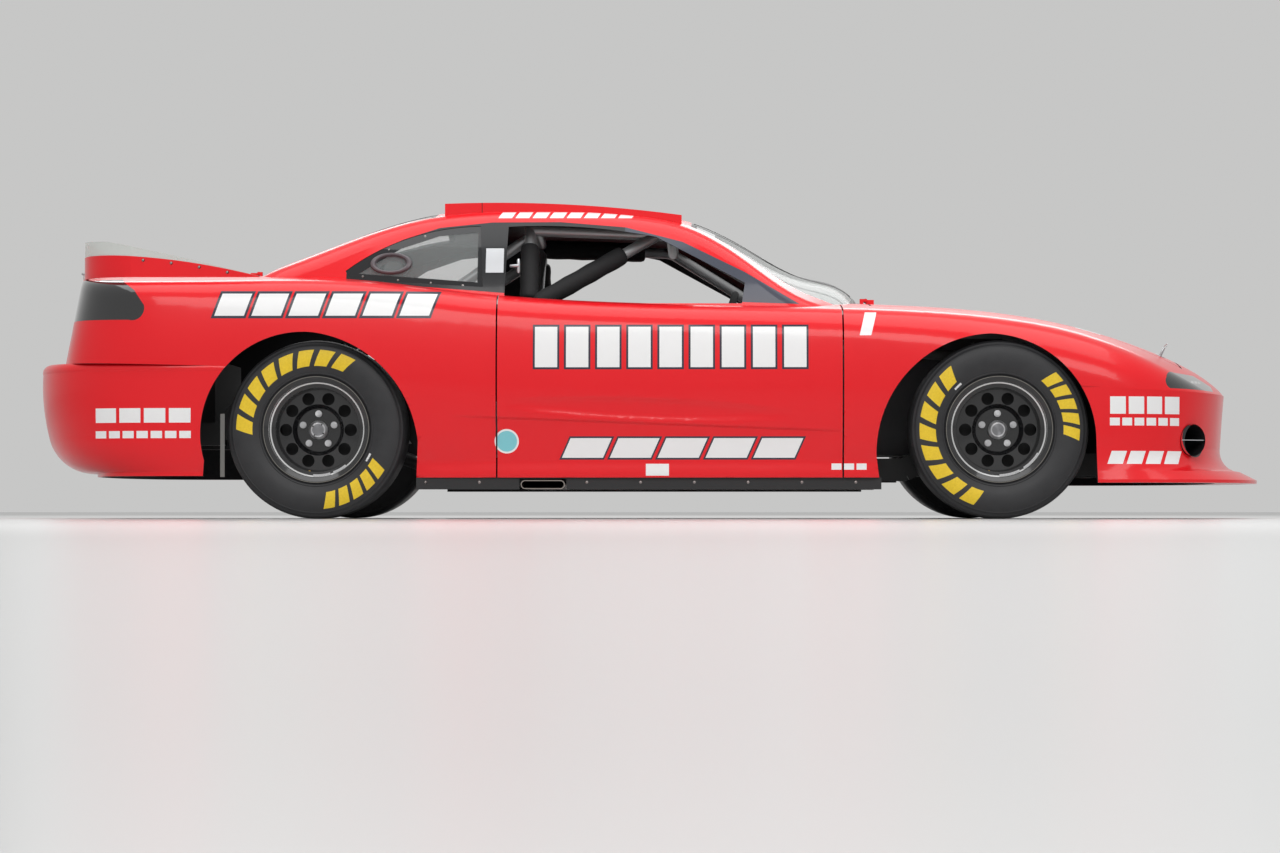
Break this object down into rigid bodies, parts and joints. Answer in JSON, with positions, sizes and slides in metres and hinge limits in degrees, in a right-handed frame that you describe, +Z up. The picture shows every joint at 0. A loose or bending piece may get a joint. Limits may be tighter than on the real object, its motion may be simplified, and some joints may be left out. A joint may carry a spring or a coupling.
{
  "type": "stock car",
  "caption": "Bright red stock car for oval racing: closed coupe body, roof rails, clear-topped rear spoiler, deep front lip, black steel wheels on slick tyres, tube frame and roll cage.",
  "frame": {"origin": "on the ground under the middle of the overall length, on the centreline", "axes": "+X towards the nose, +Y to the driver's left, +Z up"},
  "size_m": [4.9053, 1.8905, 1.2619],
  "materials": {
    "red_paint": "gloss bright red",
    "black_trim": "gloss black",
    "black_frame": "satin black",
    "cage_grey": "satin silver grey",
    "glass": "clear polycarbonate",
    "wheel_black": "gloss black",
    "tyre_rubber": "dark rubber",
    "steel": "machined steel",
    "cast": "plain casting",
    "alloy": "bare sheet",
    "seat_alloy": "bare sheet seat",
    "dash_black": "matt black",
    "spring_paint": "grey",
    "wheel_grip": "dark grip",
    "pipe": "dull pipe"
  },
  "bodies": {
    "chassis": {"roof": "red_paint", "nose_panel": "red_paint", "tail_panel": "red_paint", "cowl_panel": "red_paint", "rear_shelf": "red_paint", "fenders": "red_paint", "doors": "red_paint", "quarter_panels": "red_paint", "front_bumper": "red_paint", "rear_bumper": "red_paint", "roof_rails": "red_paint", "spoiler_base_sides": "red_paint", "windshield": "glass", "rear_window": "glass", "quarter_windows": "glass", "spoiler_blade_sides": "glass", "headlamp_covers": "black_trim", "tail_lamp_covers": "black_trim", "frame": "black_frame", "rocker_strips": "black_frame", "suspension_arms": "black_frame", "rear_axle": "black_frame", "roll_cage": "cage_grey", "floor_pan": "alloy", "firewall": "alloy", "rear_bulkhead": "alloy", "radiator": "alloy", "transmission": "alloy", "coil_springs": "spring_paint", "rack_housing": "steel", "driveshaft": "steel", "engine_block": "cast", "fuel_cell": "dash_black", "dashboard": "dash_black", "column_tube": "black_frame", "exhaust_pipe": "pipe", "seat": "seat_alloy"},
    "hood": {"hood": "red_paint"},
    "decklid": {"decklid": "red_paint", "spoiler_base": "red_paint", "spoiler_blade": "glass"},
    "steering_wheel": {"steering_wheel": "wheel_grip"},
    "rack": {"steering_rack": "steel"},
    "knuckle_l": {"knuckle_left": "steel"},
    "knuckle_r": {"knuckle_right": "steel"},
    "wheelset_fr": {"wheel_fr": "wheel_black", "tyre_fr": "tyre_rubber", "hub_fr": "steel"},
    "wheelset_fl": {"wheel_fl": "wheel_black", "tyre_fl": "tyre_rubber", "hub_fl": "steel"},
    "wheelset_rr": {"wheel_rr": "wheel_black", "tyre_rr": "tyre_rubber", "hub_rr": "steel"},
    "wheelset_rl": {"wheel_rl": "wheel_black", "tyre_rl": "tyre_rubber", "hub_rl": "steel"}
  },
  "joints": [
    {"name": "wheel_fr", "type": "hinge", "parent": "knuckle_r", "child": "wheelset_fr", "pos_m": [1.358, -0.76, 0.346], "axis": [0, 1, 0], "continuous": true},
    {"name": "wheel_fl", "type": "hinge", "parent": "knuckle_l", "child": "wheelset_fl", "pos_m": [1.358, 0.76, 0.346], "axis": [0, 1, 0], "continuous": true},
    {"name": "wheel_rr", "type": "hinge", "parent": "chassis", "child": "wheelset_rr", "pos_m": [-1.284, -0.76, 0.346], "axis": [0, 1, 0], "continuous": true},
    {"name": "wheel_rl", "type": "hinge", "parent": "chassis", "child": "wheelset_rl", "pos_m": [-1.284, 0.76, 0.346], "axis": [0, 1, 0], "continuous": true},
    {"name": "steer_left", "type": "hinge", "parent": "chassis", "child": "knuckle_l", "pos_m": [1.358, 0.665, 0.346], "axis": [0, 0, 1], "range_deg": [-25, 25]},
    {"name": "steer_right", "type": "hinge", "parent": "chassis", "child": "knuckle_r", "pos_m": [1.358, -0.665, 0.346], "axis": [0, 0, 1], "range_deg": [-25, 25]},
    {"name": "hood_hinge", "type": "hinge", "parent": "chassis", "child": "hood", "pos_m": [0.874, 0, 0.884], "axis": [0, -1, 0], "range_deg": [0, 50]},
    {"name": "decklid_hinge", "type": "hinge", "parent": "chassis", "child": "decklid", "pos_m": [-1.592, 0, 0.996], "axis": [0, 1, 0], "range_deg": [0, 45]},
    {"name": "rack_slide", "type": "slide", "parent": "chassis", "child": "rack", "axis": [0, 1, 0], "range_m": [-0.055, 0.055]},
    {"name": "steering_wheel_turn", "type": "hinge", "parent": "chassis", "child": "steering_wheel", "pos_m": [0.298, 0.372, 0.77], "axis": [-0.9549, 0, 0.297], "range_deg": [-300, 300]}
  ],
  "couplings": [
    {"joint": "steer_right", "follows": "steer_left", "ratio": 1},
    {"joint": "rack_slide", "follows": "steer_left", "m_per_rad": 0.12},
    {"joint": "steering_wheel_turn", "follows": "steer_left", "ratio": 12}
  ]
}
